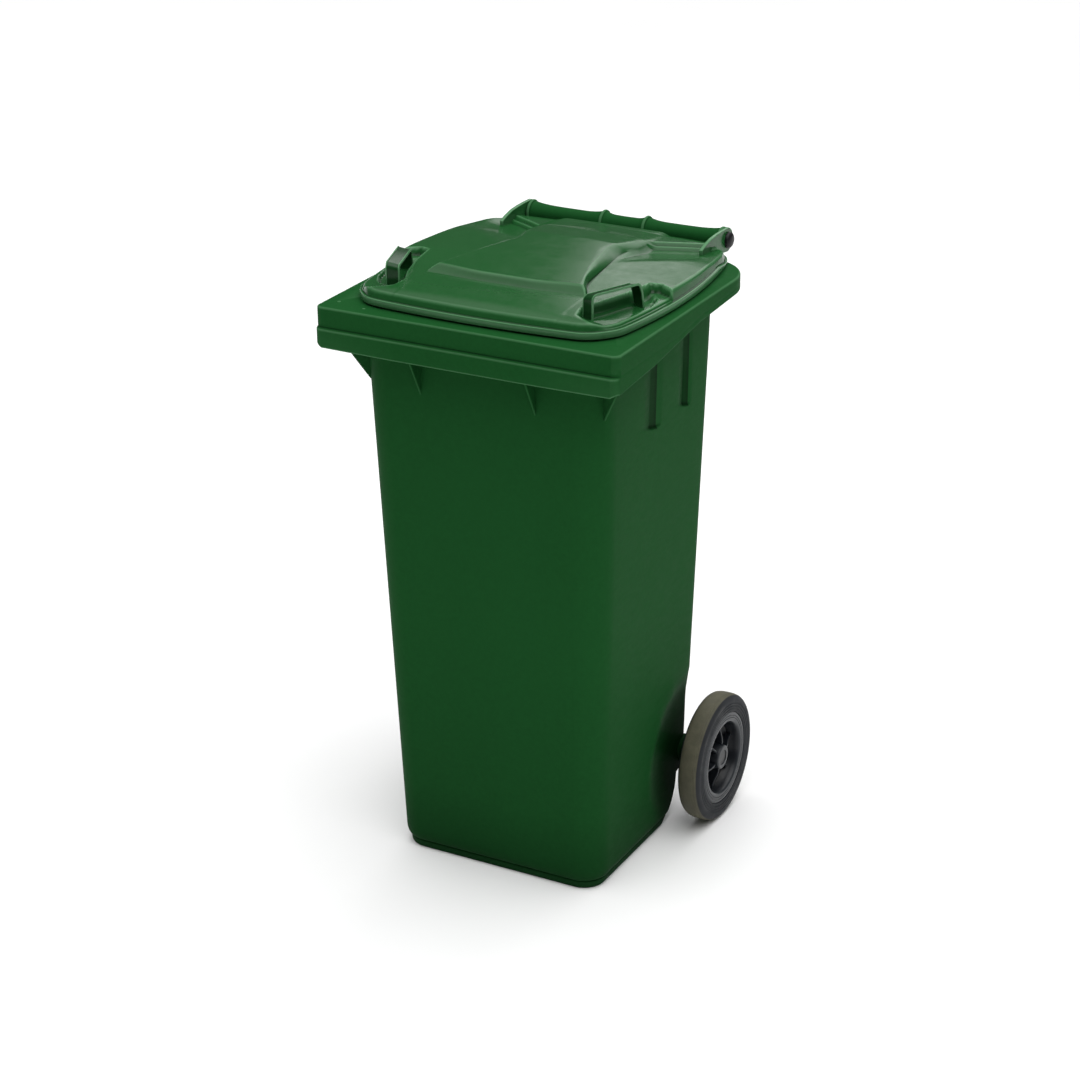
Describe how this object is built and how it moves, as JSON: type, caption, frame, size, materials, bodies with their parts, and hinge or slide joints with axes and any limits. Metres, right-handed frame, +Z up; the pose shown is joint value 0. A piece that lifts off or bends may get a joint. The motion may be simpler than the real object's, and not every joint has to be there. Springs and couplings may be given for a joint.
{
  "type": "wheelie bin",
  "caption": "Two-wheeled household waste bin: tapered tub with a comb-lift rim, a hinged domed lid with two lifting handles, a rear grip bar and rubber-tyred wheels.",
  "frame": {"origin": "middle of the plan box, on the ground under the foot ring and the tyres", "axes": "+Z up, the front with the comb-lift rim faces -Y, the wheels and the grip bar are at +Y"},
  "size_m": [0.48, 0.5206, 0.93],
  "materials": {
    "green_polyethylene": "satin, moulded",
    "lid_polyethylene": "satin, moulded",
    "black_nylon": "satin",
    "grey_rubber": "matt",
    "dark_hub_plastic": "satin",
    "zinc_plated_steel": "zinc plated"
  },
  "bodies": {
    "tub": {"body": "green_polyethylene", "hinge_pin_left": "black_nylon", "hinge_pin_right": "black_nylon", "chip_nest_plug": "green_polyethylene", "axle": "zinc_plated_steel", "axle_washer_left": "zinc_plated_steel", "axle_washer_right": "zinc_plated_steel"},
    "lid": {"lid": "lid_polyethylene"},
    "wheel_left": {"wheel_hub_left": "dark_hub_plastic", "tyre_left": "grey_rubber", "lock_pin_left": "black_nylon", "lock_spring_left": "zinc_plated_steel"},
    "wheel_right": {"wheel_hub_right": "dark_hub_plastic", "tyre_right": "grey_rubber", "lock_pin_right": "black_nylon", "lock_spring_right": "zinc_plated_steel"}
  },
  "joints": [
    {"name": "lid_hinge", "type": "hinge", "parent": "tub", "child": "lid", "pos_m": [0, 0.24125, 0.89], "axis": [-1, 0, 0], "range_deg": [0, 270]},
    {"name": "left_wheel", "type": "hinge", "parent": "tub", "child": "wheel_left", "pos_m": [-0.217, 0.11375, 0.1], "axis": [1, 0, 0], "continuous": true},
    {"name": "right_wheel", "type": "hinge", "parent": "tub", "child": "wheel_right", "pos_m": [0.217, 0.11375, 0.1], "axis": [1, 0, 0], "continuous": true}
  ]
}
